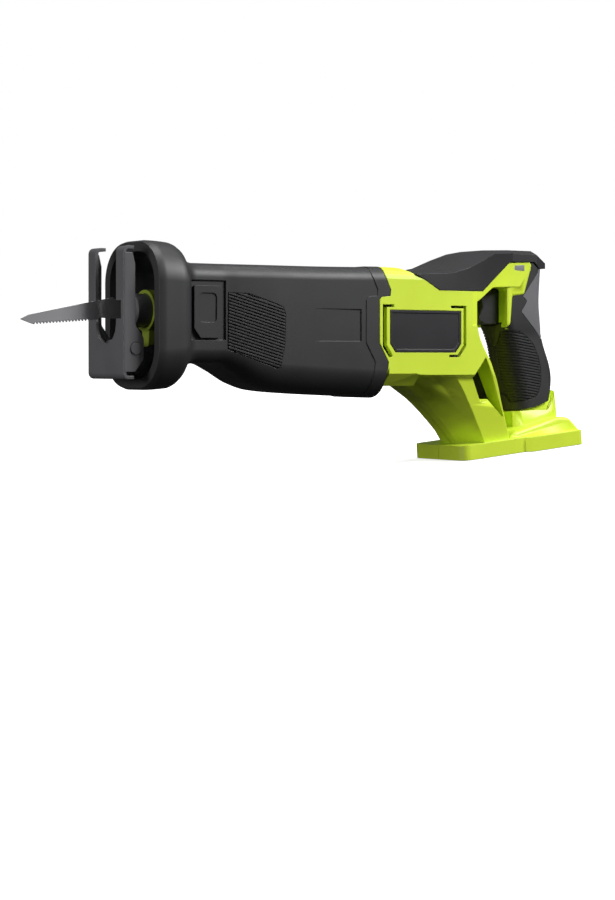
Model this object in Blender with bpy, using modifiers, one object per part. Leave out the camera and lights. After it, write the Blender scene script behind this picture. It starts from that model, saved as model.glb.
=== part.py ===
"""Cordless reciprocating saw, modelled piece by piece as it comes apart on a bench.

Sizes are millimetres in the tool frame and are scaled to metres as each mesh is made.
Tool frame: X runs back along the stroke, Y across, Z up, and the origin is on the stroke axis
at the face of the shoe. A root empty tips the tool so that it stands on its battery foot.
"""
from math import cos, pi, radians, sin, tan

import bmesh
import bpy
from mathutils import Matrix, Vector

MM = 0.001
GAP = 0.3
ARC_STEPS = 4
ROUND = 24
SMALL_ROUND = 16

# Standing pose: the foot plane leans against the stroke axis
FOOT_LEAN = radians(5.1)
FOOT_POINT = (340.0, -103.7)
TOOL_CENTRE_X = 164.0

# Stroke and drive train
STROKE = 22.2
PLUNGER_R = 6.0
PLUNGER_FRONT = 34.0
PLUNGER_BACK = 192.0
BUSH_R = 8.1
CRANK_X = 140.0
CRANK_R = STROKE / 2
MOTOR_Z = -15.0
SHAFT_R = 3.5
PINION_TEETH = 8
GEAR_TEETH = 32
TOOTH_MODULE = 1.375
GEAR_PITCH_R = GEAR_TEETH * TOOTH_MODULE / 2
GEAR_ROOT_Z = -21.8
GEAR_TIP_Z = -19.6
GEAR_UNDER_Z = -29.0
MOTOR_R = 25.0

# Shoe and its slide
SHOE_HALF = 24.0
SHOE_SHEET = 2.3
SHOE_SLOT_HALF = 14.0
SHOE_PIN = (9.5, -26.0)
SHOE_PIN_R = 4.0
BAR_TOP = -28.5
BAR_UNDER = -32.5
BAR_HALF = 9.0
BAR_BACK = 98.0

# Blade
BLADE_THICK = 1.25
TOOTH_PITCH = 2.4
TOOTH_DEPTH = 1.7
TOOTH_COUNT = 19
BLADE_TIP = (-63.7, -6.8)

# Handle and grips
CORE_HALF = 15.4
GRIP_HALF = 18.0
HANDLE_ROUND = 6.0
ARM_HALF = 19.0
STRUT_HALF = 25.5
BODY_HALF = 35.0
BOOT_WALL = 2.5
BOOT_TAPER = 0.1
RIB_PITCH = 3.6
RIB_DEPTH = 0.8

# Foot and battery socket
FOOT_HALF_FRONT = 31.0
FOOT_HALF_BACK = 36.0
FOOT_THICK = 11.0
SOCKET_LONG = 35.0
SOCKET_WIDE = 25.0
SOCKET_DEEP = 50.0

# Housing screws: X and Z of each, on the right side
SCREW_SPOTS = [(222, 22), (288, 11), (287, -38), (323, -91), (328, 27), (393, -86)]
SCREW_SEAT_Y = 10.0
SCREW_HEAD_R = 3.2
SCREW_SHANK_R = 1.4

# Cross-sections of the front boot: X, half width, top, bottom, corner radius
BOOT_SECTIONS = [
    (20, 36.5, 46, -52.5, 27), (24, 38, 47.3, -54, 28), (36, 38, 47, -53.5, 28), (44, 33, 40.5, -45.5, 20),
    (51, 27.6, 34, -38, 13),
    (56, 26, 32.5, -36, 10), (76, 26, 32.5, -36, 10), (90, 27.5, 32.5, -42, 10), (104, 29, 32.5, -50, 10),
    (120, 30.5, 32.5, -55, 10), (140, 31.5, 32.5, -57, 10), (218, 34.5, 33.4, -61, 10)]

# Cross-sections of the housing roof under the top cover
ROOF_SECTIONS = [
    (268, 31, 30, 5, 8), (285, 30.5, 37.5, 5, 13), (294, 29.8, 42.2, 5, 15), (298, 29, 43.5, 14.5, 14),
    (312, 25, 45.5, 20, 11),
    (343, 15.2, 45.5, 30, 6), (371, 14.6, 43.5, 30, 5)]

# Seam between the boot and the housing, from the top down: X, Z
SEAM = [(209, 60), (209, 27.4), (214, 16.7), (213.5, 12.4), (206, 11.6), (204, 9.4),
        (204, -21.4), (212, -35), (210, -48), (210, -80)]

# Lower and upper edges of the black grip on the handle: X, Z
GRIP_LOWER = [(410, -34), (387, -40), (380, -65), (371, -68.5), (347.5, -73), (320, -77)]
GRIP_UPPER = [(320, -11), (336, -11), (343, -8), (345, 13.5), (355, 14.5), (349, 6), (353, 1), (372.5, -16),
              (410, -16)]
PAD_EDGE = [(364.5, 40), (355.7, 15.3), (350, 6.4), (353.6, 1.8), (373, -15.4), (410, -15.4)]

for old in list(bpy.data.objects):
    bpy.data.objects.remove(old, do_unlink=True)

PIECES = bpy.data.collections.new("reciprocating_saw")
CUTTERS = bpy.data.collections.new("cutters")
bpy.context.scene.collection.children.link(PIECES)
bpy.context.scene.collection.children.link(CUTTERS)


def material(name, colour, roughness, metallic=0.0):
    """One Principled material with the piece's colour."""
    made = bpy.data.materials.new(name)
    made.use_nodes = True
    shader = made.node_tree.nodes["Principled BSDF"]
    shader.inputs["Base Color"].default_value = (*colour, 1.0)
    shader.inputs["Roughness"].default_value = roughness
    shader.inputs["Metallic"].default_value = metallic
    return made


LIME = material("lime_plastic", (0.60, 0.76, 0.04), 0.45)
CHARCOAL = material("charcoal_rubber", (0.035, 0.035, 0.038), 0.65)
GREY = material("grey_rubber", (0.11, 0.11, 0.12), 0.6)
BLACK = material("black_plastic", (0.02, 0.02, 0.022), 0.4)
GREY_PLASTIC = material("grey_plastic", (0.16, 0.16, 0.17), 0.5)
SHOE_STEEL = material("black_steel", (0.07, 0.07, 0.075), 0.45, 0.6)
BRIGHT_STEEL = material("bright_steel", (0.62, 0.62, 0.64), 0.3, 1.0)
CAST = material("cast_aluminium", (0.55, 0.56, 0.58), 0.5, 1.0)
BRONZE = material("sintered_bronze", (0.55, 0.36, 0.16), 0.5, 1.0)
COPPER = material("terminal_copper", (0.72, 0.36, 0.2), 0.35, 1.0)
BOARD = material("circuit_board", (0.02, 0.12, 0.05), 0.5)


def place(name, mesh, finish=None):
    """Link a mesh as a piece, or as a hidden cutter when it has no finish."""
    made = bpy.data.objects.new(name, mesh)
    if finish is None:
        CUTTERS.objects.link(made)
        made.hide_render = True
        made.display_type = 'WIRE'
    else:
        PIECES.objects.link(made)
        mesh.materials.append(finish)
    return made


def tidy(mesh, flat_angle=0.0005):
    """Weld a mesh, dissolve the flat caps and turn its faces outwards."""
    work = bmesh.new()
    work.from_mesh(mesh)
    bmesh.ops.remove_doubles(work, verts=work.verts, dist=1e-6)
    bmesh.ops.dissolve_limit(work, angle_limit=flat_angle, verts=[], edges=work.edges)
    bmesh.ops.recalc_face_normals(work, faces=work.faces)
    work.to_mesh(mesh)
    work.free()


def rounded(points, arc_steps=ARC_STEPS):
    """Turn corners given as (a, b, radius) into arcs; corners given as (a, b) stay sharp."""
    outline = []
    count = len(points)
    for index, corner in enumerate(points):
        here = Vector(corner[:2])
        if len(corner) == 2:
            outline.append(here)
            continue
        back = (Vector(points[index - 1][:2]) - here).normalized()
        ahead = (Vector(points[(index + 1) % count][:2]) - here).normalized()
        half = back.angle(ahead) / 2
        centre = here + (back + ahead).normalized() * corner[2] / sin(half)
        start = here + back * corner[2] / tan(half) - centre
        end = here + ahead * corner[2] / tan(half) - centre
        for step in range(arc_steps + 1):
            outline.append(centre + start.slerp(end, step / arc_steps).normalized() * corner[2])
    return outline


def circle(radius, centre=(0.0, 0.0), sides=ROUND):
    """Points of a round outline."""
    return [(centre[0] + radius * cos(2 * pi * k / sides), centre[1] + radius * sin(2 * pi * k / sides))
            for k in range(sides)]


TURNS = {'X': Matrix(((0, 0, 1, 0), (1, 0, 0, 0), (0, 1, 0, 0), (0, 0, 0, 1))),
         'Y': Matrix(((1, 0, 0, 0), (0, 0, -1, 0), (0, 1, 0, 0), (0, 0, 0, 1))),
         'Z': Matrix.Identity(4)}


def prism(name, outline, axis, low, high, finish=None, holes=()):
    """A flat outline extruded along an axis; Y takes (x, z) points, X takes (y, z), Z takes (x, y)."""
    curve = bpy.data.curves.new(name, 'CURVE')
    curve.dimensions = '2D'
    curve.fill_mode = 'BOTH'
    curve.extrude = abs(high - low) / 2
    for loop in [rounded(outline), *holes]:
        spline = curve.splines.new('POLY')
        spline.points.add(len(loop) - 1)
        spline.use_cyclic_u = True
        for point, (a, b) in zip(spline.points, loop):
            point.co = (a, b, 0.0, 1.0)
    guide = bpy.data.objects.new(name, curve)
    bpy.context.scene.collection.objects.link(guide)
    graph = bpy.context.evaluated_depsgraph_get()
    mesh = bpy.data.meshes.new_from_object(guide.evaluated_get(graph))
    bpy.data.objects.remove(guide)
    middle = (low + high) / 2
    lift = -middle if axis == 'Y' else middle
    mesh.transform(Matrix.Scale(MM, 4) @ TURNS[axis] @ Matrix.Translation((0, 0, lift)))
    tidy(mesh)
    return place(name, mesh, finish)


def loft(name, sections, finish=None, grow=0.0, arc_steps=ARC_STEPS):
    """A closed skin over rounded rectangles set along X, made larger all round by grow."""
    work = bmesh.new()
    rings = []
    for number, (x, half, top, bottom, radius) in enumerate(sections):
        if number == 0:
            x -= grow
        if number == len(sections) - 1:
            x += grow
        wide, high, low, bend = half + grow, top + grow, bottom - grow, max(radius + grow, 0.5)
        corners = [(-wide, low, bend), (wide, low, bend), (wide, high, bend), (-wide, high, bend)]
        rings.append([work.verts.new((x * MM, y * MM, z * MM)) for y, z in rounded(corners, arc_steps)])
    for first, second in zip(rings, rings[1:]):
        for k in range(len(first)):
            after = (k + 1) % len(first)
            work.faces.new((first[k], first[after], second[after]))
            work.faces.new((first[k], second[after], second[k]))
    work.faces.new(rings[0])
    work.faces.new(rings[-1])
    bmesh.ops.recalc_face_normals(work, faces=work.faces)
    mesh = bpy.data.meshes.new(name)
    work.to_mesh(mesh)
    work.free()
    return place(name, mesh, finish)


def block(name, low, high, finish=None):
    """A box between two corners."""
    work = bmesh.new()
    bmesh.ops.create_cube(work, size=1.0)
    size = [(b - a) * MM for a, b in zip(low, high)]
    middle = [(a + b) / 2 * MM for a, b in zip(low, high)]
    bmesh.ops.scale(work, vec=size, verts=work.verts)
    bmesh.ops.translate(work, vec=middle, verts=work.verts)
    mesh = bpy.data.meshes.new(name)
    work.to_mesh(mesh)
    work.free()
    return place(name, mesh, finish)


def rod(name, radius, axis, centre, low, high, finish=None, sides=ROUND):
    """A plain round bar along an axis through a centre given in the other two directions."""
    return prism(name, circle(radius, centre, sides), axis, low, high, finish)


def turned(name, profile, axis, origin, finish, steps=ROUND):
    """A profile of (radius, height) points, outer side first from the top down, turned about an axis."""
    mesh = bpy.data.meshes.new(name)
    count = len(profile)
    solid = profile[0][0] == 0
    edges = [(k, k + 1) for k in range(count - 1)]
    if not solid:
        edges.append((count - 1, 0))
    mesh.from_pydata([(r * MM, 0, h * MM) for r, h in profile], edges, [])
    made = place(name, mesh, finish)
    screw = made.modifiers.new("turn", 'SCREW')
    screw.steps = steps
    screw.render_steps = steps
    screw.use_merge_vertices = True
    screw.merge_threshold = 1e-5
    screw.use_smooth_shade = False
    made.location = Vector(origin) * MM
    if axis == 'X':
        made.rotation_euler = (0, pi / 2, 0)
    if axis == 'Y':
        made.rotation_euler = (-pi / 2, 0, 0)
    return made


def ring(name, inner, outer, axis, origin, length, finish, steps=ROUND):
    """A plain bush that starts at its origin and runs along its axis."""
    profile = [(outer, length), (outer, 0), (inner, 0), (inner, length)]
    return turned(name, profile, axis, origin, finish, steps)


def combine(target, operand, operation='DIFFERENCE'):
    """Cut, join or intersect one object with another, or with all of a collection."""
    step = target.modifiers.new(operation.lower(), 'BOOLEAN')
    step.operation = operation
    step.solver = 'EXACT'
    if isinstance(operand, bpy.types.Collection):
        step.operand_type = 'COLLECTION'
        step.collection = operand
    else:
        step.object = operand
    return target


def bevel(target, width, segments=2, angle=40):
    """Round the sharp edges of a piece."""
    step = target.modifiers.new("bevel", 'BEVEL')
    step.width = width * MM
    step.segments = segments
    step.limit_method = 'ANGLE'
    step.angle_limit = radians(angle)
    step.use_clamp_overlap = True
    return target


def group(name, members):
    """Collect hidden solids so that one Boolean can take them together."""
    made = bpy.data.collections.new(name)
    CUTTERS.children.link(made)
    for member in members:
        CUTTERS.objects.unlink(member)
        made.objects.link(member)
    return made


def set_origin(piece, x, y, z):
    """Move a piece's origin onto its joint axis and leave its shape in place."""
    pivot = Vector((x, y, z)) * MM
    piece.data.transform(Matrix.Translation(-pivot))
    piece.location = pivot


def foot_frame():
    """Matrix from the foot's own frame, level with its underside, to the tool frame."""
    corner = Vector((FOOT_POINT[0] * MM, 0, FOOT_POINT[1] * MM))
    return Matrix.Translation(corner) @ Matrix.Rotation(-FOOT_LEAN, 4, 'Y')


def shifted(points, dx, dz):
    """The same points moved by a small step, to leave a gap along a shared edge."""
    return [(x + dx, z + dz) for x, z in points]


def gear_points(teeth, root, tip, root_half, tip_half, turn):
    """Outline of a straight-toothed wheel: each tooth is a trapezium on the root circle."""
    points = []
    for k in range(teeth):
        middle = turn + 2 * pi * k / teeth
        for radius, half in ((root, -root_half), (tip, -tip_half), (tip, tip_half), (root, root_half)):
            angle = middle + half / radius
            points.append((radius * cos(angle), radius * sin(angle)))
    return points


def ribs(name, first, last, pitch, slant, face, taper, depth):
    """A row of slanting grooves on a side face, as one cutter of bars set along a line of (x, z) points."""
    start = Vector(first)
    line = Vector(last) - start
    count = round(line.length / pitch)
    side = 1 if face > 0 else -1
    size = Matrix.Diagonal((90 * MM, depth * 2 * MM, pitch * 0.42 * MM, 1.0))
    work = bmesh.new()
    for k in range(count + 1):
        spot = start + line * k / count
        out = face + side * taper * (spot.x - start.x)
        turn = Matrix.Rotation(side * taper, 4, 'Z') @ Matrix.Rotation(-slant, 4, 'Y')
        bmesh.ops.create_cube(work, size=1.0, matrix=Matrix.Translation(
            (spot.x * MM, out * MM, spot.y * MM)) @ turn @ size)
    mesh = bpy.data.meshes.new(name)
    work.to_mesh(mesh)
    work.free()
    return place(name, mesh)


def make_blade():
    """Saw blade stamped from strip: sloping spine, chisel tip, set teeth below and a narrow tang."""
    heel = (-8.0, -7.0)
    toe = (heel[0] - TOOTH_COUNT * TOOTH_PITCH, -10.2)
    outline = [BLADE_TIP, (-57.5, -3.9), (-14, 4.75), (5, 8.4), (10, 6), (33, 6), (36, 4.4), (54, 4.4),
               (54, -4.4), (36, -4.4), (33, -6), (10, -6), (heel[0] + 3, -5.2)]
    for k in range(TOOTH_COUNT):
        share = k / TOOTH_COUNT
        x = heel[0] + (toe[0] - heel[0]) * share
        z = heel[1] + (toe[1] - heel[1]) * share
        outline.append((x, z))
        outline.append((x - 0.55 * TOOTH_PITCH, z + TOOTH_DEPTH))
    outline.append(toe)
    outline.append((toe[0] - 3.5, toe[1] + 1.0))
    return prism("blade", outline, 'Y', -BLADE_THICK / 2, BLADE_THICK / 2, BRIGHT_STEEL)


def make_shoe():
    """Shoe bent from one sheet: slotted face with notches, curled tops, lower lip and side cheeks."""
    half = SHOE_HALF
    slot = SHOE_SLOT_HALF
    notch = 20.5
    sheet = SHOE_SHEET
    bent = [(0, -46.4, 4), (0, 42.4, 4), (8, 42.4), (8, 42.4 - sheet), (sheet, 42.4 - sheet, 1.7),
            (sheet, sheet - 46.4, 1.7), (8, sheet - 46.4), (8, -46.4)]
    shoe = prism("shoe", bent, 'Y', 0.1 - half, half - 0.1, SHOE_STEEL)
    mouth = [(slot, 60), (slot, 6), (notch, 6), (notch, -6), (slot, -6), (slot, -22.8, 13.9),
             (-slot, -22.8, 13.9), (-slot, -6), (-notch, -6), (-notch, 6), (-slot, 6), (-slot, 60)]
    combine(shoe, prism("shoe_mouth", mouth, 'X', -20, 20))
    cheek = [(1, -41.5), (1, 38), (7, 38), (9, 30), (9, -10, 4), (15.5, -19, 5), (15.5, -33, 5),
             (9, -41.5, 3)]
    cheeks = [prism("shoe_cheek", cheek, 'Y', side * (half - sheet), side * half) for side in (-1, 1)]
    combine(shoe, group("shoe_cheeks", cheeks), 'UNION')
    combine(shoe, rod("shoe_pin_hole", SHOE_PIN_R + GAP, 'Y', SHOE_PIN, -40, 40))
    set_origin(shoe, SHOE_PIN[0], 0, SHOE_PIN[1])
    return shoe


def make_shoe_slide():
    """Flat bar that carries the shoe's pivot pin and slides in the nose under the gear case."""
    bar = block("shoe_bracket", (11, -BAR_HALF, BAR_UNDER), (BAR_BACK, BAR_HALF, BAR_TOP), BRIGHT_STEEL)
    combine(bar, rod("bracket_eye", 6.2, 'Y', SHOE_PIN, -BAR_HALF, BAR_HALF), 'UNION')
    combine(bar, rod("bracket_eye_bore", SHOE_PIN_R + GAP, 'Y', SHOE_PIN, -40, 40))
    rod("shoe_pin", SHOE_PIN_R, 'Y', SHOE_PIN, -SHOE_HALF - 0.8, SHOE_HALF + 0.8, BRIGHT_STEEL)


def make_clamp():
    """Blade clamp: a turned collar on the plunger nose, with a release lever that turns round it."""
    collar = rod("clamp_collar", 11.5, 'X', (0, 0), 18, 44, SHOE_STEEL)
    bevel(collar, 1.2, 1)
    combine(collar, rod("collar_bore", PLUNGER_R + GAP, 'X', (0, 0), PLUNGER_FRONT - GAP, 60))
    combine(collar, block("collar_slot", (10, -1.0, -7.5), (36, 1.0, 9.8)))
    lever = rod("clamp_lever", 14.2, 'X', (0, 0), 30, 42, LIME)
    arm = [(-5, -10), (5, -10), (4, -24.5, 2), (-4, -24.5, 2)]
    combine(lever, prism("clamp_lever_arm", arm, 'X', 31, 41), 'UNION')
    combine(lever, rod("clamp_lever_bore", 11.8, 'X', (0, 0), 20, 60))


def make_plunger():
    """Plunger bar with its blade slot, and the scotch yoke that the crank pin would drive."""
    plunger = rod("plunger", PLUNGER_R, 'X', (0, 0), PLUNGER_FRONT, PLUNGER_BACK, BRIGHT_STEEL)
    combine(plunger, block("plunger_slot", (20, -1.0, -9), (58, 1.0, 9)))
    yoke = block("yoke", (CRANK_X - 8, -19, -16), (CRANK_X + 8, 19, -9), BRIGHT_STEEL)
    combine(yoke, block("yoke_collar", (CRANK_X - 7, -9, -12), (CRANK_X + 7, 9, 9)), 'UNION')
    combine(yoke, rod("yoke_bore", PLUNGER_R + GAP, 'X', (0, 0), 100, 200))
    combine(yoke, block("yoke_slot", (CRANK_X - 4, -15.5, -20), (CRANK_X + 4, 15.5, -11)))
    ring("plunger_bush_front", PLUNGER_R + GAP, BUSH_R, 'X', (58, 0, 0), 24, BRONZE, SMALL_ROUND)
    ring("plunger_bush_rear", PLUNGER_R + GAP, BUSH_R, 'X', (177, 0, 0), 10, BRONZE, SMALL_ROUND)


def make_gear():
    """Crown wheel on an upright stub, its crank pin short of the yoke, and the ball bearing below."""
    gear = turned("drive_gear", [(0, GEAR_ROOT_Z), (24.2, GEAR_ROOT_Z), (24.2, GEAR_UNDER_Z + 3),
                                 (20, GEAR_UNDER_Z), (5.7, GEAR_UNDER_Z), (5.7, -41), (0, -41)],
                  'Z', (CRANK_X, 0, 0), BRIGHT_STEEL, GEAR_TEETH)
    work = bmesh.new()
    for k in range(GEAR_TEETH):
        turn = Matrix.Rotation(2 * pi * k / GEAR_TEETH, 4, 'Z')
        reach = Matrix.Translation((GEAR_PITCH_R * MM, 0, (GEAR_ROOT_Z + GEAR_TIP_Z - 0.6) / 2 * MM))
        high = GEAR_TIP_Z - GEAR_ROOT_Z + 0.6
        bmesh.ops.create_cube(work, size=1.0, matrix=turn @ reach @ Matrix.Diagonal(
            (3.4 * MM, 1.3 * MM, high * MM, 1.0)))
    mesh = bpy.data.meshes.new("crown_teeth")
    work.to_mesh(mesh)
    work.free()
    teeth = place("crown_teeth", mesh)
    teeth.location = (CRANK_X * MM, 0, 0)
    combine(gear, teeth, 'UNION')
    pin_hole = rod("crank_pin_hole", 3.4 + GAP, 'Z', (CRANK_X, CRANK_R), GEAR_UNDER_Z + 3, 0)
    combine(gear, pin_hole)
    rod("crank_pin", 3.4, 'Z', (CRANK_X, CRANK_R), GEAR_UNDER_Z + 3 + GAP, -17, BRIGHT_STEEL, 16)
    ring("gear_bearing", 5.7 + GAP, 10.5, 'Z', (CRANK_X, 0, -39), 7, BRIGHT_STEEL, SMALL_ROUND)


def make_motor():
    """Brushless motor: shaft with pinion, fan and magnet rotor, in a stator with its sensor board."""
    bore = circle(SHAFT_R + GAP, (0, 0), 16)
    half_turn = -pi / 2 + pi / PINION_TEETH
    toothed = gear_points(PINION_TEETH, 4.5, 6.5, 1.0, 0.45, half_turn)
    blades = gear_points(9, 9, 21, 2.2, 1.0, 0)
    slots = gear_points(8, 12, 13.4, 1.0, 4.2, 0)
    rod("motor_shaft", SHAFT_R, 'X', (0, 0), 161, 286, BRIGHT_STEEL, 16)
    prism("pinion", toothed, 'X', 160.8, 171, BRIGHT_STEEL, [bore])
    prism("fan", blades, 'X', 214, 222, BLACK, [bore])
    prism("rotor", slots, 'X', 226, 262, CAST, [bore])
    for name in ("motor_shaft", "pinion", "fan", "rotor"):
        bpy.data.objects[name].location.z = MOTOR_Z * MM
    teeth = gear_points(6, 22, 15.4, 4.0, 6.0, 0)
    stator = prism("stator", circle(MOTOR_R, (0, 0), 32), 'X', 225, 261, SHOE_STEEL, [teeth])
    stator.location.z = MOTOR_Z * MM
    ring("sensor_board", 10, MOTOR_R - 1, 'X', (266, 0, MOTOR_Z), 1.6, BOARD, SMALL_ROUND)
    ring("motor_plate", 9.3, 24.5, 'X', (206, 0, MOTOR_Z), 5, CAST)
    ring("motor_bearing_front", SHAFT_R + GAP, 9, 'X', (206, 0, MOTOR_Z), 6, BRIGHT_STEEL, SMALL_ROUND)
    ring("motor_bearing_rear", SHAFT_R + GAP, 8.2, 'X', (279, 0, MOTOR_Z), 6, BRIGHT_STEEL, SMALL_ROUND)


def make_gear_case():
    """Cast gear case: slim neck round the front bush, then a chamber for the wheel and the yoke."""
    case = loft("gear_case", [
        (57, 22.8, 29.4, -27.5, 7), (101, 22.8, 29.4, -27.5, 7), (108, 26.2, 29.6, -44, 7),
        (122, 27.6, 29.6, -50, 7), (140, 28.5, 29.6, -52, 7), (202, 30.4, 29.8, -55, 7)], CAST)
    chamber = loft("gear_chamber", [
        (104, 17, 13, -24, 3), (112, 20.5, 13, -32, 3), (130, 25.2, 13, -32, 3), (150, 25.2, 13, -32, 3),
        (170, 20.5, 13, -32, 3), (175, 20.5, 13, -32, 3)])
    hollow = loft("gear_case_back", [(189, 26, 20, -42, 6), (210, 26, 20, -42, 6)])
    bores = [rod("plunger_bore", BUSH_R + GAP, 'X', (0, 0), 50, 195),
             rod("shaft_bore", SHAFT_R + 1, 'X', (0, MOTOR_Z), 170, 195),
             rod("gear_bearing_seat", 10.5 + GAP, 'Z', (CRANK_X, 0), -41.5, -28)]
    combine(case, group("gear_case_hollows", [chamber, hollow, *bores]))


def seam_block(name, dx):
    """Everything forward of the boot's rear seam, as a thick slab."""
    return prism(name, [(0, 60), *shifted(SEAM, dx, 0), (0, -80)], 'Y', -60, 60)


def make_boot():
    """Rubber boot: a tube over the gear case that flares into the guard ring round the shoe."""
    boot = loft("boot", BOOT_SECTIONS, CHARCOAL)
    combine(boot, seam_block("boot_seam", 0), 'INTERSECT')
    inside = [(14, 30.5, 40, -47, 22), (36, 29.5, 38.5, -45, 20), (45, 25.5, 32.5, -37.5, 12)]
    for x, half, top, bottom, radius in BOOT_SECTIONS[5:]:
        inside.append((x, half - BOOT_WALL, top - BOOT_WALL, bottom + BOOT_WALL, radius - BOOT_WALL))
    inside.append((222, 32.1, 30.9, -58.7, 7.5))
    combine(boot, loft("boot_hollow", inside))
    combine(boot, block("lever_recess", (51.5, -40, -20), (76, -24.7, 20)))


PANEL = [(77.5, 12.7, 2), (97, 12.2), (121, 4.5, 3), (125.5, 0.5, 3), (125, -22), (121.5, -40, 2),
         (77, -25.5, 2)]
GRIP_PANEL = [(342, -10.5, 2), (352, -11.5), (364, -20, 6), (371.5, -33, 8), (373.5, -46, 8), (369, -61, 5),
              (350, -66, 2), (339, -25)]


def inset(points, step):
    """Outline drawn in towards its middle by about the given step."""
    centre = sum((Vector(p[:2]) for p in points), Vector((0, 0))) / len(points)
    moved = []
    for point in points:
        out = Vector(point[:2]) - centre
        moved.append((*(centre + out * (1 - step / out.length)), *point[2:]))
    return moved


def make_panels(boot, grips):
    """Ribbed panels let into the sides of the boot and of the grip."""
    for side, word in ((-1, "left"), (1, "right")):
        pocket = prism("boot_pocket_" + word, PANEL, 'Y', side * 20, side * 45)
        combine(pocket, loft("boot_pocket_floor", BOOT_SECTIONS, grow=-1.3))
        combine(boot, pocket)
        pad = prism("boot_pad_" + word, inset(PANEL, 0.5), 'Y', side * 20, side * 45, CHARCOAL)
        combine(pad, loft("boot_pad_face", BOOT_SECTIONS, grow=0.6), 'INTERSECT')
        combine(pad, loft("boot_pad_back", BOOT_SECTIONS, grow=-0.95))
        combine(pad, ribs("boot_ribs", (92, -44), (108, 22), RIB_PITCH, radians(-16), side * 28.2,
                          BOOT_TAPER, RIB_DEPTH))
        pocket = prism("grip_pocket_" + word, GRIP_PANEL, 'Y', side * (GRIP_HALF - 1.2), side * 30)
        combine(grips[word], pocket)
        face = side * (GRIP_HALF + 0.7)
        low, high = sorted((side * (GRIP_HALF - 0.9), face))
        pad = prism("grip_pad_" + word, inset(GRIP_PANEL, 0.5), 'Y', low, high, CHARCOAL)
        combine(pad, ribs("grip_ribs", (350, -72), (362, -6), RIB_PITCH, radians(-12), face, 0, RIB_DEPTH))


def cover_side(name, grow, finish=None):
    """Side outline of the top cover, cut right across."""
    side = [(252, 30.6), (281, 41), (297, 46.6), (312, 49.2), (366, 50.7), (378, 45), (378, 41.8),
            (360, 41.6), (339, 41), (303, 17.4), (259, 17.4)]
    return prism(name, inset(side, -grow), 'Y', -40, 40, finish)


def controller_block(name, grow, finish=None):
    """Motor controller, a potted board that lies along the strut."""
    made = block(name, (-20 - grow, -16 - grow, -5 - grow), (16 + grow, 16 + grow, 5 + grow), finish)
    lean = Matrix.Translation(Vector((308, 0, -64)) * MM) @ Matrix.Rotation(radians(63), 4, 'Y')
    made.data.transform(lean)
    return made


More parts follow.
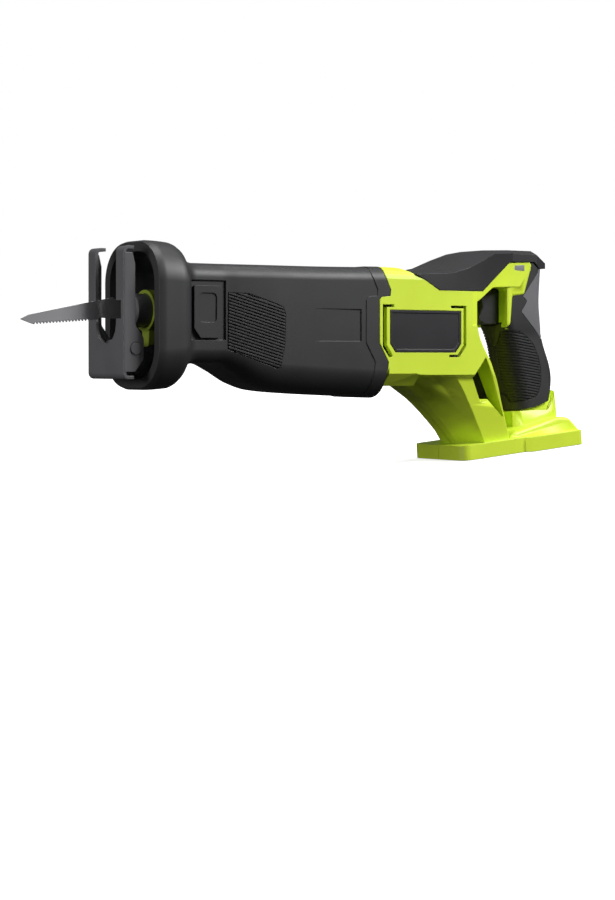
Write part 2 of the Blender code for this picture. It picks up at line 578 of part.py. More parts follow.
def make_housing():
    """Two mirrored clamshell halves: motor body, arm over the trigger, strut, handle core and foot."""
    body = loft("body_block", [(198, BODY_HALF, 33.6, -47.5, 9), (270, BODY_HALF, 33, -47.5, 9),
                               (290, BODY_HALF, 32, -46, 9), (296, BODY_HALF - 2, 30, -44, 8)])
    arm_outline = [(285, 13), (285, 38), (364, 41.4), (355.2, 15.8), (343.6, 15), (341.8, -7), (337, -9.6),
                   (337, 21), (310, 21), (297, 14)]
    arm = prism("arm_block", arm_outline, 'Y', -ARM_HALF, ARM_HALF)
    bevel(arm, 3, 2)
    cover_cut = cover_side("cover_cut", GAP)
    combine(arm, cover_cut)
    roof = loft("roof_core", ROOF_SECTIONS)
    core = bevel(handle_core("handle_core", 40, 0), 3, 2)
    base = prism("handle_base", [*shifted(GRIP_LOWER, 0.2, -0.5), (320, -98), (410, -98)], 'Y', -40, 40)
    combine(base, handle_envelope("base_envelope"), 'INTERSECT')
    strut_outline = [(235, -40), (297, -8), (300, -18), (310, -34), (334, -88), (338, -99), (312, -101),
                     (308, -94), (275, -64), (252, -51)]
    strut = bevel(prism("strut_block", strut_outline, 'Y', -STRUT_HALF, STRUT_HALF), 7, 2)
    slab = prism("foot_slab", [(-54, -FOOT_HALF_FRONT, 7), (6, -FOOT_HALF_FRONT), (8, -FOOT_HALF_BACK),
                               (62, -FOOT_HALF_BACK, 6), (62, FOOT_HALF_BACK, 6), (8, FOOT_HALF_BACK),
                               (6, FOOT_HALF_FRONT), (-54, FOOT_HALF_FRONT, 7)], 'Z', 0, FOOT_THICK)
    slab.data.transform(foot_frame())
    heel = prism("foot_heel", [(330, -98), (336, -88), (378, -77.5), (391, -77.5), (402, -87), (401, -95)],
                 'Y', -30, 30)
    bevel(heel, 3, 2)
    solids = group("housing_solids", [arm, roof, core, base, strut, slab, heel])

    socket = block("battery_socket", (32.4 - SOCKET_LONG / 2, -SOCKET_WIDE / 2, -5),
                   (32.4 + SOCKET_LONG / 2, SOCKET_WIDE / 2, SOCKET_DEEP))
    socket.data.transform(foot_frame())
    terminals = block("terminal_pocket", (22.4, -9, SOCKET_DEEP - 1), (42.4, 9, SOCKET_DEEP + 13))
    terminals.data.transform(foot_frame())
    hollows = [rod("motor_bay", MOTOR_R + 0.4, 'X', (0, MOTOR_Z), 190, 278, sides=32),
               rod("rear_bearing_seat", 8.5, 'X', (0, MOTOR_Z), 270, 288),
               block("trigger_mouth", (330, -9.5, -7), (352.6, 9.5, 20.7)),
               block("switch_bay", (352.4, -11.5, -12.5), (368, 11.5, 20.5)),
               block("wire_way", (354, -5, -50), (362, 5, -10)), controller_block("controller_bay", 0.5),
               block("lock_window", (342.4, -30, 33.4), (355.6, 30, 40)), socket, terminals]
    recess = [(206.6, 6), (283.6, 6), (283.6, -24, 2), (277, -31, 2), (213, -31, 2), (206.6, -24, 2)]
    hollows.append(prism("plate_recess", recess, 'Y', -50, -BODY_HALF + 1.5))
    hollow_side = [(303, -31), (291.5, -48), (300, -66), (306, -63), (322, -76), (325, -76)]
    for side in (-1, 1):
        hollows.append(prism("strut_recess", hollow_side, 'Y', side * (STRUT_HALF - 1.8), side * 50))
    for x, z in SCREW_SPOTS:
        hollows.append(rod("screw_well", SCREW_HEAD_R + 0.4, 'Y', (x, z), SCREW_SEAT_Y - GAP, 60, sides=16))
        hollows.append(rod("screw_hole", SCREW_SHANK_R + GAP, 'Y', (x, z), -9, 20, sides=12))
    cuts = group("housing_hollows", hollows)
    for name, low, high in (("housing_left", -60, -GAP / 2), ("housing_right", GAP / 2, 60)):
        half = place(name, body.data.copy(), LIME)
        combine(half, seam_block(name + "_seam", GAP))
        combine(half, cover_cut)
        combine(half, solids, 'UNION')
        combine(half, cuts)
        combine(half, block(name + "_side", (100, low, -150), (450, high, 100)), 'INTERSECT')


def handle_envelope(name):
    """Outer form of the whole handle, rounded at the palm and the fingers."""
    outline = [(336, 48), (336, -22), (347.5, -73), (351, -106), (393, -106), (391.5, -72), (387, -40),
               (378.5, -16), (374.5, 13), (376, 48)]
    return bevel(prism(name, outline, 'Y', -GRIP_HALF, GRIP_HALF), HANDLE_ROUND, 3)


def handle_core(name, top, grow):
    """Green core of the handle; made a gap larger, it hollows the pieces moulded over it."""
    front = [(339, top), (339, -22), (352, -76), (352, -98)]
    rear = [(388.5, -98), (388, -60), (384, -40), (375.5, -16), (371, 13), (371.5, top)]
    outline = [*shifted(front, -grow, 0), *shifted(rear, grow, 0)]
    return prism(name, outline, 'Y', -CORE_HALF - grow, CORE_HALF + grow)


def make_grips():
    """Black grip halves moulded round the handle core, and the grey pad behind the hand."""
    core = handle_core("core_cut", 60, GAP)
    envelope = handle_envelope("grip_envelope")
    grips = {}
    for word, low, high in (("left", -60, -GAP / 2), ("right", GAP / 2, 60)):
        grip = prism("grip_" + word, [*GRIP_UPPER, *GRIP_LOWER], 'Y', -40, 40, CHARCOAL)
        combine(grip, envelope, 'INTERSECT')
        combine(grip, core)
        combine(grip, block("grip_side_" + word, (300, low, -150), (450, high, 100)), 'INTERSECT')
        grips[word] = grip
    pad = prism("rear_pad", [*PAD_EDGE, (410, 40)], 'Y', -40, 40, GREY)
    combine(pad, envelope, 'INTERSECT')
    combine(pad, core)
    return grips


def make_cover():
    """Black top cover, a faceted saddle that clips over the roof of both housing halves."""
    cover = cover_side("top_cover", 0, CHARCOAL)
    facets = [(245, 35.2, 38, 5, 13), (270, 35.2, 41, 5, 16), (297, 33.5, 49, 0, 22), (312, 29, 51, 5, 17),
              (342, 20.5, 51.5, 5, 10), (368, 19.5, 51.5, 5, 10), (379, 13, 51.5, 5, 8)]
    combine(cover, loft("cover_facets", facets, arc_steps=2), 'INTERSECT')
    combine(cover, loft("cover_hollow", ROOF_SECTIONS, grow=GAP))


def make_controls():
    """Trigger, its switch, the lock-off button across the handle, and the battery terminals."""
    trigger_outline = [(319, 18, 2), (326, 20.2), (344.4, 20.2), (344.4, -6.5), (324, -6.5), (317, -3, 2),
                       (321.5, 7)]
    bevel(prism("trigger", trigger_outline, 'Y', -9, 9, BLACK), 1.5, 2)
    block("switch_box", (353, -11, -12), (367.5, 11, 20), BLACK)
    controller_block("controller", 0, BOARD)
    button = block("lock_button", (343, -ARM_HALF - 0.3, 34), (355, ARM_HALF + 0.3, 39.4), GREY_PLASTIC)
    bevel(button, 1, 2)
    terminals = block("terminal_block", (23, -8.5, SOCKET_DEEP), (41.8, 8.5, SOCKET_DEEP + 12.5), BLACK)
    terminals.data.transform(foot_frame())
    for side, name in ((-1, "terminal_left"), (1, "terminal_right")):
        near, far = sorted((side * 5, side * 6))
        blade = block(name, (26, near, SOCKET_DEEP - 10), (39, far, SOCKET_DEEP - GAP), COPPER)
        blade.data.transform(foot_frame())


def make_nameplate():
    """Bare plate let into the left side of the body."""
    outline = [(214, 1.6), (281, 1.6), (281, -23), (276.5, -27.7), (218.5, -27.7), (214, -23)]
    prism("nameplate", outline, 'Y', -BODY_HALF - 0.1, -BODY_HALF + 1.2, BLACK)


def make_shoe_lever():
    """Flip lever on the left of the nose that frees the shoe bar."""
    outline = [(53, 17, 1.5), (74.5, 17, 1.5), (74.5, -18.6, 1.5), (58, -18.6), (53, -12)]
    lever = prism("shoe_lever", outline, 'Y', -27.4, -25, BLACK)
    dish = [(57, 12, 3), (71, 12, 3), (71, -8, 3), (57, -8, 3)]
    combine(lever, prism("lever_dish", dish, 'Y', -40, -26.6))
    set_origin(lever, 64, -25, 17)


def make_screws():
    """Housing screws, driven in from the right."""
    profile = [(0, 2.4), (SCREW_HEAD_R, 2.4), (SCREW_HEAD_R, 0), (SCREW_SHANK_R, 0), (SCREW_SHANK_R, -17),
               (0, -17)]
    for number, (x, z) in enumerate(SCREW_SPOTS, 1):
        turned("housing_screw_%d" % number, profile, 'Y', (x, SCREW_SEAT_Y, z), BRIGHT_STEEL, 12)


def stand_on_foot():
    """Parent everything to a root empty that sets the foot level on the ground."""
    root = bpy.data.objects.new("saw_root", None)
    PIECES.objects.link(root)
    root.rotation_euler = (0, FOOT_LEAN, 0)
    height = FOOT_POINT[0] * sin(FOOT_LEAN) - FOOT_POINT[1] * cos(FOOT_LEAN)
    root.location = (-TOOL_CENTRE_X * MM, 0, height * MM)
    for piece in list(PIECES.all_objects) + list(CUTTERS.all_objects):
        if piece is not root:
            piece.parent = root


make_blade()
make_shoe()
make_shoe_slide()
make_clamp()
make_plunger()
make_gear()
make_motor()
make_gear_case()
make_boot()
make_housing()
made_grips = make_grips()
make_panels(bpy.data.objects["boot"], made_grips)
make_cover()
make_controls()
make_nameplate()
make_shoe_lever()
make_screws()
stand_on_foot()
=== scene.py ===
from math import cos, radians, sin

import bpy
from mathutils import Matrix, Vector


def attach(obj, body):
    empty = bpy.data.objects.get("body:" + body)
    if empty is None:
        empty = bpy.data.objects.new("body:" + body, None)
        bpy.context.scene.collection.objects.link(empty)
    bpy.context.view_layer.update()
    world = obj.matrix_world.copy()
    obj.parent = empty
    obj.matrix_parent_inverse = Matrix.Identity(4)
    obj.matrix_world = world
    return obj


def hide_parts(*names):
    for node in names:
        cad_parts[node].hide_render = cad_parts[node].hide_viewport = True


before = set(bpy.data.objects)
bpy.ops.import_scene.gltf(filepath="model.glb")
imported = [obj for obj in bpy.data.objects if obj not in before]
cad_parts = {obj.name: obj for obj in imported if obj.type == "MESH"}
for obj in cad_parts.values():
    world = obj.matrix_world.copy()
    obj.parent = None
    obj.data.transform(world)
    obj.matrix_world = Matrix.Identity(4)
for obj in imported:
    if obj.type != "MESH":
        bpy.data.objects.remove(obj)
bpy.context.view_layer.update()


# Studio. The camera stands level with the blade, to the left of the nose, and leans with the stroke.
# A broad lamp over the camera's right shoulder lights the left side, with a weaker one above;
# the floor and the world are white to the camera and dim to everything else.
camera_lens = bpy.data.cameras.new("camera")
camera_lens.lens = 80
camera_lens.shift_y = -0.1
camera = bpy.data.objects.new("camera", camera_lens)
bpy.context.scene.collection.objects.link(camera)
camera.matrix_world = (Matrix.Translation((-0.82323, -1.1771, 0.15861)) @ Matrix.Rotation(radians(5.1), 4, 'Y')
                       @ Matrix.Rotation(radians(-35), 4, 'Z') @ Matrix.Rotation(radians(90), 4, 'X'))
bpy.context.scene.camera = camera
bpy.context.scene.view_settings.view_transform = 'Standard'


def area_lamp(name, place, size, power):
    """A square soft lamp at a place, turned to face the middle of the saw."""
    lamp = bpy.data.lights.new(name, 'AREA')
    lamp.size = size
    lamp.energy = power
    stand = bpy.data.objects.new(name, lamp)
    bpy.context.scene.collection.objects.link(stand)
    stand.location = place
    stand.rotation_euler = (Vector((0, 0, 0.1)) - Vector(place)).to_track_quat('-Z', 'Y').to_euler()


area_lamp("key_lamp", (0.8, -0.95, 0.85), 0.6, 24)
area_lamp("top_lamp", (0.15, -0.1, 1.7), 0.9, 22)
area_lamp("nose_lamp", (-1.6, -0.1, 0.5), 0.5, 13)

world = bpy.data.worlds.new("studio")
bpy.context.scene.world = world
world.use_nodes = True
sky = world.node_tree
sky.nodes["Background"].inputs["Color"].default_value = (1, 1, 1, 1)
sky_ray = sky.nodes.new("ShaderNodeLightPath")
sky_level = sky.nodes.new("ShaderNodeMapRange")
sky_level.inputs["To Min"].default_value = 0.14
sky_level.inputs["To Max"].default_value = 1.0
sky.links.new(sky_ray.outputs["Is Camera Ray"], sky_level.inputs["Value"])
sky.links.new(sky_level.outputs["Result"], sky.nodes["Background"].inputs["Strength"])

bpy.ops.object.select_all(action='DESELECT')
bpy.ops.mesh.primitive_plane_add(size=30, location=(0, 0, -0.0005))
floor = bpy.context.object
floor.name = "floor"
floor_paint = bpy.data.materials.new("white_floor")
floor_paint.use_nodes = True
floor_tree = floor_paint.node_tree
floor_shader = floor_tree.nodes["Principled BSDF"]
floor_shader.inputs["Roughness"].default_value = 0.9
floor_shader.inputs["Specular IOR Level"].default_value = 0.0
floor_shader.inputs["Emission Color"].default_value = (1, 1, 1, 1)
floor_ray = floor_tree.nodes.new("ShaderNodeLightPath")
floor_spot = floor_tree.nodes.new("ShaderNodeTexCoord")
floor_reach = floor_tree.nodes.new("ShaderNodeVectorMath")
floor_reach.operation = 'LENGTH'
floor_fade = floor_tree.nodes.new("ShaderNodeMapRange")
floor_fade.inputs["From Min"].default_value = 0.2
floor_fade.inputs["From Max"].default_value = 0.7
floor_fade.inputs["To Min"].default_value = 0.72
floor_fade.inputs["To Max"].default_value = 1.0
floor_glow = floor_tree.nodes.new("ShaderNodeMath")
floor_glow.operation = 'MULTIPLY'
floor_shade = floor_tree.nodes.new("ShaderNodeMix")
floor_shade.data_type = 'RGBA'
floor_shade.inputs["A"].default_value = (0.04, 0.04, 0.04, 1)
floor_shade.inputs["B"].default_value = (0.8, 0.8, 0.8, 1)
floor_tree.links.new(floor_spot.outputs["Object"], floor_reach.inputs[0])
floor_tree.links.new(floor_reach.outputs["Value"], floor_fade.inputs["Value"])
floor_tree.links.new(floor_fade.outputs["Result"], floor_glow.inputs[0])
floor_tree.links.new(floor_ray.outputs["Is Camera Ray"], floor_glow.inputs[1])
floor_tree.links.new(floor_glow.outputs[0], floor_shader.inputs["Emission Strength"])
floor_tree.links.new(floor_ray.outputs["Is Camera Ray"], floor_shade.inputs["Factor"])
floor_tree.links.new(floor_shade.outputs["Result"], floor_shader.inputs["Base Color"])
floor.data.materials.append(floor_paint)


# Motor. A brushless motor: laminated stator, magnet rotor on a ground shaft, moulded fan and a ring of
# sensor board, held between two ball bearings. Steel parts are ground, so they show fine turning marks.
surface = bpy.data.node_groups.new("surface_grain", 'ShaderNodeTree')
for label, kind in (("Vector", 'NodeSocketVector'), ("Color", 'NodeSocketColor'), ("Grain Size", 'NodeSocketFloat'),
                    ("Drift", 'NodeSocketFloat'), ("Roughness", 'NodeSocketFloat')):
    surface.interface.new_socket(label, in_out='INPUT', socket_type=kind)
for label, kind in (("Color", 'NodeSocketColor'), ("Roughness", 'NodeSocketFloat'), ("Height", 'NodeSocketFloat')):
    surface.interface.new_socket(label, in_out='OUTPUT', socket_type=kind)
enter = surface.nodes.new("NodeGroupInput")
leave = surface.nodes.new("NodeGroupOutput")
spark = surface.nodes.new("ShaderNodeTexNoise")
spark.inputs["Detail"].default_value = 2
cloud = surface.nodes.new("ShaderNodeTexNoise")
cloud.inputs["Scale"].default_value = 28
cloud.inputs["Detail"].default_value = 3
shade = surface.nodes.new("ShaderNodeMapRange")
shade.inputs["From Min"].default_value = 0.3
shade.inputs["From Max"].default_value = 0.7
low_shade = surface.nodes.new("ShaderNodeMath")
low_shade.operation = 'SUBTRACT'
low_shade.inputs[0].default_value = 1.0
high_shade = surface.nodes.new("ShaderNodeMath")
high_shade.operation = 'ADD'
high_shade.inputs[0].default_value = 1.0
tint = surface.nodes.new("ShaderNodeMix")
tint.data_type = 'RGBA'
tint.blend_type = 'MULTIPLY'
tint.inputs["Factor"].default_value = 1.0
gloss = surface.nodes.new("ShaderNodeMath")
gloss.operation = 'MULTIPLY_ADD'
gloss.inputs[1].default_value = 0.16
gloss_base = surface.nodes.new("ShaderNodeMath")
gloss_base.operation = 'SUBTRACT'
gloss_base.inputs[1].default_value = 0.08
wire = surface.links.new
wire(enter.outputs["Vector"], spark.inputs["Vector"])
wire(enter.outputs["Vector"], cloud.inputs["Vector"])
wire(enter.outputs["Grain Size"], spark.inputs["Scale"])
wire(cloud.outputs["Fac"], shade.inputs["Value"])
wire(enter.outputs["Drift"], low_shade.inputs[1])
wire(enter.outputs["Drift"], high_shade.inputs[1])
wire(low_shade.outputs[0], shade.inputs["To Min"])
wire(high_shade.outputs[0], shade.inputs["To Max"])
wire(enter.outputs["Color"], tint.inputs["A"])
wire(shade.outputs["Result"], tint.inputs["B"])
wire(enter.outputs["Roughness"], gloss_base.inputs[0])
wire(cloud.outputs["Fac"], gloss.inputs[0])
wire(gloss_base.outputs[0], gloss.inputs[2])
wire(tint.outputs["Result"], leave.inputs["Color"])
wire(gloss.outputs[0], leave.inputs["Roughness"])
wire(spark.outputs["Fac"], leave.inputs["Height"])


def grained(name, colour, roughness, grain=2600, drift=0.05, bump=0.00004, edge=0.0004, metal=0.0, stretch=(1, 1, 1)):
    """A finish with fine grain, a slow drift of shade and softly rounded edges; stretch draws the grain out."""
    made = bpy.data.materials.new(name)
    made.use_nodes = True
    tree = made.node_tree
    shader = tree.nodes["Principled BSDF"]
    shader.inputs["Metallic"].default_value = metal
    spot = tree.nodes.new("ShaderNodeTexCoord")
    lay = tree.nodes.new("ShaderNodeMapping")
    lay.inputs["Rotation"].default_value = (0, radians(-5.1), 0)
    lay.inputs["Scale"].default_value = stretch
    texture = tree.nodes.new("ShaderNodeGroup")
    texture.name = "texture"
    texture.node_tree = surface
    texture.inputs["Color"].default_value = (*colour, 1)
    texture.inputs["Grain Size"].default_value = grain
    texture.inputs["Drift"].default_value = drift
    texture.inputs["Roughness"].default_value = roughness
    soft = tree.nodes.new("ShaderNodeBevel")
    soft.samples = 4
    soft.inputs["Radius"].default_value = edge
    relief = tree.nodes.new("ShaderNodeBump")
    relief.name = "relief"
    relief.inputs["Strength"].default_value = 0.5
    relief.inputs["Distance"].default_value = bump
    tree.links.new(spot.outputs["Object"], lay.inputs["Vector"])
    tree.links.new(lay.outputs["Vector"], texture.inputs["Vector"])
    tree.links.new(texture.outputs["Color"], shader.inputs["Base Color"])
    tree.links.new(texture.outputs["Roughness"], shader.inputs["Roughness"])
    tree.links.new(texture.outputs["Height"], relief.inputs["Height"])
    tree.links.new(soft.outputs["Normal"], relief.inputs["Normal"])
    tree.links.new(relief.outputs["Normal"], shader.inputs["Normal"])
    return made


def finish_piece(piece, nodes, body, material, crease=30):
    """Shade a piece by angle, give it its material, and let it ride on a body in place of CAD nodes."""
    bpy.ops.object.select_all(action='DESELECT')
    piece.select_set(True)
    bpy.context.view_layer.objects.active = piece
    bpy.ops.object.shade_smooth_by_angle(angle=radians(crease))
    even = piece.modifiers.new("even_normals", 'WEIGHTED_NORMAL')
    even.keep_sharp = True
    bpy.ops.object.modifier_apply(modifier=even.name)
    piece.data.materials.clear()
    piece.data.materials.append(material)
    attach(piece, body)
    if nodes:
        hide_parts(*nodes)
    return piece


def welded_copy(node, whole=True):
    """A copy of a CAD node with its triangles merged and, if asked, its flat faces made whole."""
    bpy.ops.object.select_all(action='DESELECT')
    piece = bpy.data.objects.new(node + "_shell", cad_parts[node].data.copy())
    bpy.context.scene.collection.objects.link(piece)
    piece.select_set(True)
    bpy.context.view_layer.objects.active = piece
    bpy.ops.object.mode_set(mode='EDIT')
    bpy.ops.mesh.select_all(action='SELECT')
    bpy.ops.mesh.remove_doubles(threshold=1e-6)
    if whole:
        bpy.ops.mesh.dissolve_limited(angle_limit=radians(0.3))
    bpy.ops.object.mode_set(mode='OBJECT')
    return piece


def dress(nodes, body, material, crease=35):
    """Give CAD nodes whose shape is right their finish."""
    for node in nodes:
        finish_piece(welded_copy(node), [node], body, material, crease)


bright_steel = grained("bright_steel", (0.62, 0.62, 0.64), 0.3, grain=900, drift=0.08, metal=1.0, stretch=(0.08, 1, 1))
black_steel = grained("black_steel", (0.07, 0.07, 0.075), 0.42, drift=0.1)
fan_black = grained("fan_black", (0.02, 0.02, 0.022), 0.45)
circuit_board = grained("circuit_board", (0.02, 0.12, 0.05), 0.5, grain=700, drift=0.2)
dress(["motor_shaft", "pinion", "rotor"], "motor_rotor", bright_steel)
dress(["fan"], "motor_rotor", fan_black)
dress(["stator"], "tool_body", black_steel)
dress(["sensor_board", "controller"], "tool_body", circuit_board)
dress(["motor_bearing_front", "motor_bearing_rear"], "tool_body", bright_steel)


# Gear case and drive. A die-cast case round a crown wheel, whose crank pin works the yoke on the plunger.
# The plunger is a ground bar in two sintered bronze bushes; the case is left as cast.
cast_aluminium = grained("cast_aluminium", (0.55, 0.56, 0.58), 0.5, grain=1400, drift=0.1, bump=0.00012, metal=1.0)
sintered_bronze = grained("sintered_bronze", (0.55, 0.36, 0.16), 0.5, grain=3200, drift=0.12, metal=1.0)
dress(["gear_case", "motor_plate"], "tool_body", cast_aluminium)
dress(["plunger_bush_front", "plunger_bush_rear"], "tool_body", sintered_bronze)
dress(["gear_bearing"], "tool_body", bright_steel)
dress(["drive_gear", "crank_pin"], "crown_gear", bright_steel)
dress(["plunger", "yoke"], "saw_carrier", bright_steel)


# Housing. Two clamshell halves moulded in lime plastic: motor body, arm over the trigger, strut, handle
# core and foot. The halves carry the vents round the plate, the pocket in the strut and a fine spark grain.
TOOL = Matrix.Translation((-0.164, 0, 0.133513)) @ Matrix.Rotation(radians(5.1), 4, 'Y') @ Matrix.Scale(0.001, 4)
BODY_SIDE = 35.0      # half width of the motor body, before its sides are faced flat
SIDE_FACE = 34.92
CLEAR = 60            # beyond the widest piece
PLATE_DEPTH = 1.5
PLATE_GAP = 0.4
VENT_DEPTH = 4.5
POCKET_FLOOR = 18
SEAM_GAP = 0.3
SEAM = [(209, 60), (209, 27.4), (214, 16.7), (213.5, 12.4), (206, 11.6), (204, 9.4), (204, -21.4), (212, -35),
        (210, -48), (210, -80)]
HANDLE = [(-106, 18, 394, 353, 12, 10), (-73, 18, 393, 350.5, 12, 14), (-40, 17.4, 388.5, 343.5, 12, 16),
          (-22, 17, 382, 339.5, 12, 15.5), (-13, 16.8, 379.5, 336.5, 12, 14), (-9, 17.2, 379, 335.4, 12, 12),
          (14, 18, 376, 331.4, 11, 9), (48, 18.5, 377.5, 333, 10, 8)]
ARM = [(280, 32.8, 60, -20, 1, 1), (297, 32.4, 60, -20, 1, 1), (312, 27.8, 60, -20, 1, 1), (342, 19.4, 60, -20, 1, 1),
       (366, 18.8, 60, -20, 1, 1)]
STRUT = [(-99, 301, 338, 26, 10), (-64, 264, 323.4, 31, 25), (-53, 247, 319, 32.9, 34), (-46.5, 238, 315.8, 34.2, 37),
         (-44, 236, 314, 35.1, 2), (-36, 232, 310.5, 35.1, 2), (-18, 240, 300, 35.1, 2), (-8, 250, 297, 35.1, 2)]
COVER_EDGE = [(235.5, 28.9), (262, 40), (300, 60), (390, 60), (390, 36.8), (370.4, 36.8), (364.6, 41.6), (339, 41),
              (303, 17.4), (258.5, 17.4), (246, 24.4)]
ARM_BACK = [(361, 35), (358, 33.3), (341.7, 11.9), (337.6, 11), (337.2, -4), (333.5, -9.2)]
lime_plastic = grained("lime_plastic", (0.60, 0.76, 0.04), 0.42, drift=0.04, edge=0.0006)


def shape(piece_name, vertex_count, points):
    """Start from a filled ring of vertices and move them to the points."""
    bpy.ops.object.select_all(action='DESELECT')
    bpy.ops.mesh.primitive_circle_add(vertices=vertex_count, fill_type='NGON')
    piece = bpy.context.object
    piece.name = piece_name
    for vertex, point in zip(piece.data.vertices, points):
        vertex.co = point
    return piece


def slab(name, outline, low, high, axis='Y'):
    """An outline extruded along an axis, in the tool's own millimetres."""
    turn = {'X': lambda a, b, level: (level, a, b), 'Y': lambda a, b, level: (a, level, b),
            'Z': lambda a, b, level: (a, b, level)}[axis]
    piece = shape(name, len(outline), [turn(a, b, low) for a, b in outline])
    bpy.ops.object.mode_set(mode='EDIT')
    bpy.ops.mesh.select_all(action='SELECT')
    bpy.ops.mesh.extrude_region_move(TRANSFORM_OT_translate={"value": turn(0, 0, high - low)})
    bpy.ops.mesh.select_all(action='SELECT')
    bpy.ops.mesh.normals_make_consistent(inside=False)
    bpy.ops.object.mode_set(mode='OBJECT')
    return piece


def tube(name, rings):
    """A grid bent into a closed skin through rings of points that match one to one."""
    around = len(rings[0])
    bpy.ops.object.select_all(action='DESELECT')
    bpy.ops.mesh.primitive_grid_add(x_subdivisions=around, y_subdivisions=len(rings) - 1)
    piece = bpy.context.object
    piece.name = name
    flat = [value for loop in rings for point in (*loop, loop[0]) for value in point]
    piece.data.vertices.foreach_set("co", flat)
    bpy.ops.object.mode_set(mode='EDIT')
    bpy.ops.mesh.select_all(action='SELECT')
    bpy.ops.mesh.remove_doubles(threshold=0.0005)
    bpy.ops.mesh.fill_holes(sides=0)
    bpy.ops.mesh.select_all(action='SELECT')
    bpy.ops.mesh.normals_make_consistent(inside=False)
    bpy.ops.object.mode_set(mode='OBJECT')
    return piece


def eased(table, spacing):
    """Sections between the given ones, on a curve that runs smoothly through them."""
    rows = [tuple(float(value) for value in row) for row in table]
    rates = [[(b - a) / (after[0] - before[0]) for a, b in zip(before, after)] for before, after in zip(rows, rows[1:])]
    slopes = [rates[0]]
    for early, late in zip(rates, rates[1:]):
        slopes.append([0.0 if p * q <= 0 else 2 * p * q / (p + q) for p, q in zip(early, late)])
    slopes.append(rates[-1])
    made = []
    for index, (before, after) in enumerate(zip(rows, rows[1:])):
        span = after[0] - before[0]
        steps = max(1, round(span / spacing))
        for k in range(steps):
            t = k / steps
            made.append([(2 * t**3 - 3 * t**2 + 1) * a + (t**3 - 2 * t**2 + t) * span * m
                         + (3 * t**2 - 2 * t**3) * b + (t**3 - t**2) * span * n
                         for a, b, m, n in zip(before, after, slopes[index], slopes[index + 1])])
    made.append(list(rows[-1]))
    return made


def form(name, table, grow=0.0, axis='X', spacing=4.0, arc=9):
    """A lofted solid over rounded rectangles: station, half width, top, bottom, upper and lower radius."""
    rings = []
    sections = eased(table, spacing)
    for number, (station, half, top, bottom, upper, lower) in enumerate(sections):
        if number == 0:
            station -= grow
        if number == len(sections) - 1:
            station += grow
        loop = []
        for side, level, bend, start in ((1, bottom - grow, lower, -90), (1, top + grow, upper, 0),
                                         (-1, top + grow, upper, 90), (-1, bottom - grow, lower, 180)):
            bend = max(bend + grow, 0.3)
            centre = (side * (half + grow - bend), level + (bend if start in (-90, 180) else -bend))
            for k in range(arc + 1):
                angle = radians(start + 90 * k / arc)
                loop.append((centre[0] + bend * cos(angle), centre[1] + bend * sin(angle)))
        if axis == 'X':
            rings.append([(station, y, height) for y, height in loop])
        else:
            rings.append([(depth, y, station) for y, depth in loop])
    return tube(name, rings)


def carve(piece, other, operation='DIFFERENCE'):
    """Cut, join or intersect a piece with another, which is used up."""
    step = piece.modifiers.new("carve", 'BOOLEAN')
    step.operation = operation
    step.solver = 'EXACT'
    step.object = other
    bpy.ops.object.select_all(action='DESELECT')
    piece.select_set(True)
    bpy.context.view_layer.objects.active = piece
    bpy.ops.object.modifier_apply(modifier=step.name)
    bpy.ops.object.mode_set(mode='EDIT')
    bpy.ops.mesh.select_all(action='SELECT')
    bpy.ops.mesh.remove_doubles(threshold=0.004)
    bpy.ops.mesh.dissolve_degenerate(threshold=0.002)
    bpy.ops.object.mode_set(mode='OBJECT')
    bpy.data.objects.remove(other, do_unlink=True)
    return piece


def seat(piece):
    """Move a mesh from the tool's millimetres to its place in the model."""
    piece.data.transform(TOOL)
    return piece


def span(side, near, far):
    """Low and high ends of a stretch across the tool, on the left (-1) or right (1) side."""
    return sorted((side * near, side * far))


def mirrored(outline, side):
    """The same outline for the left (-1) or right (1) side, where the first value is the width."""
    return [(side * a, b) for a, b in outline]


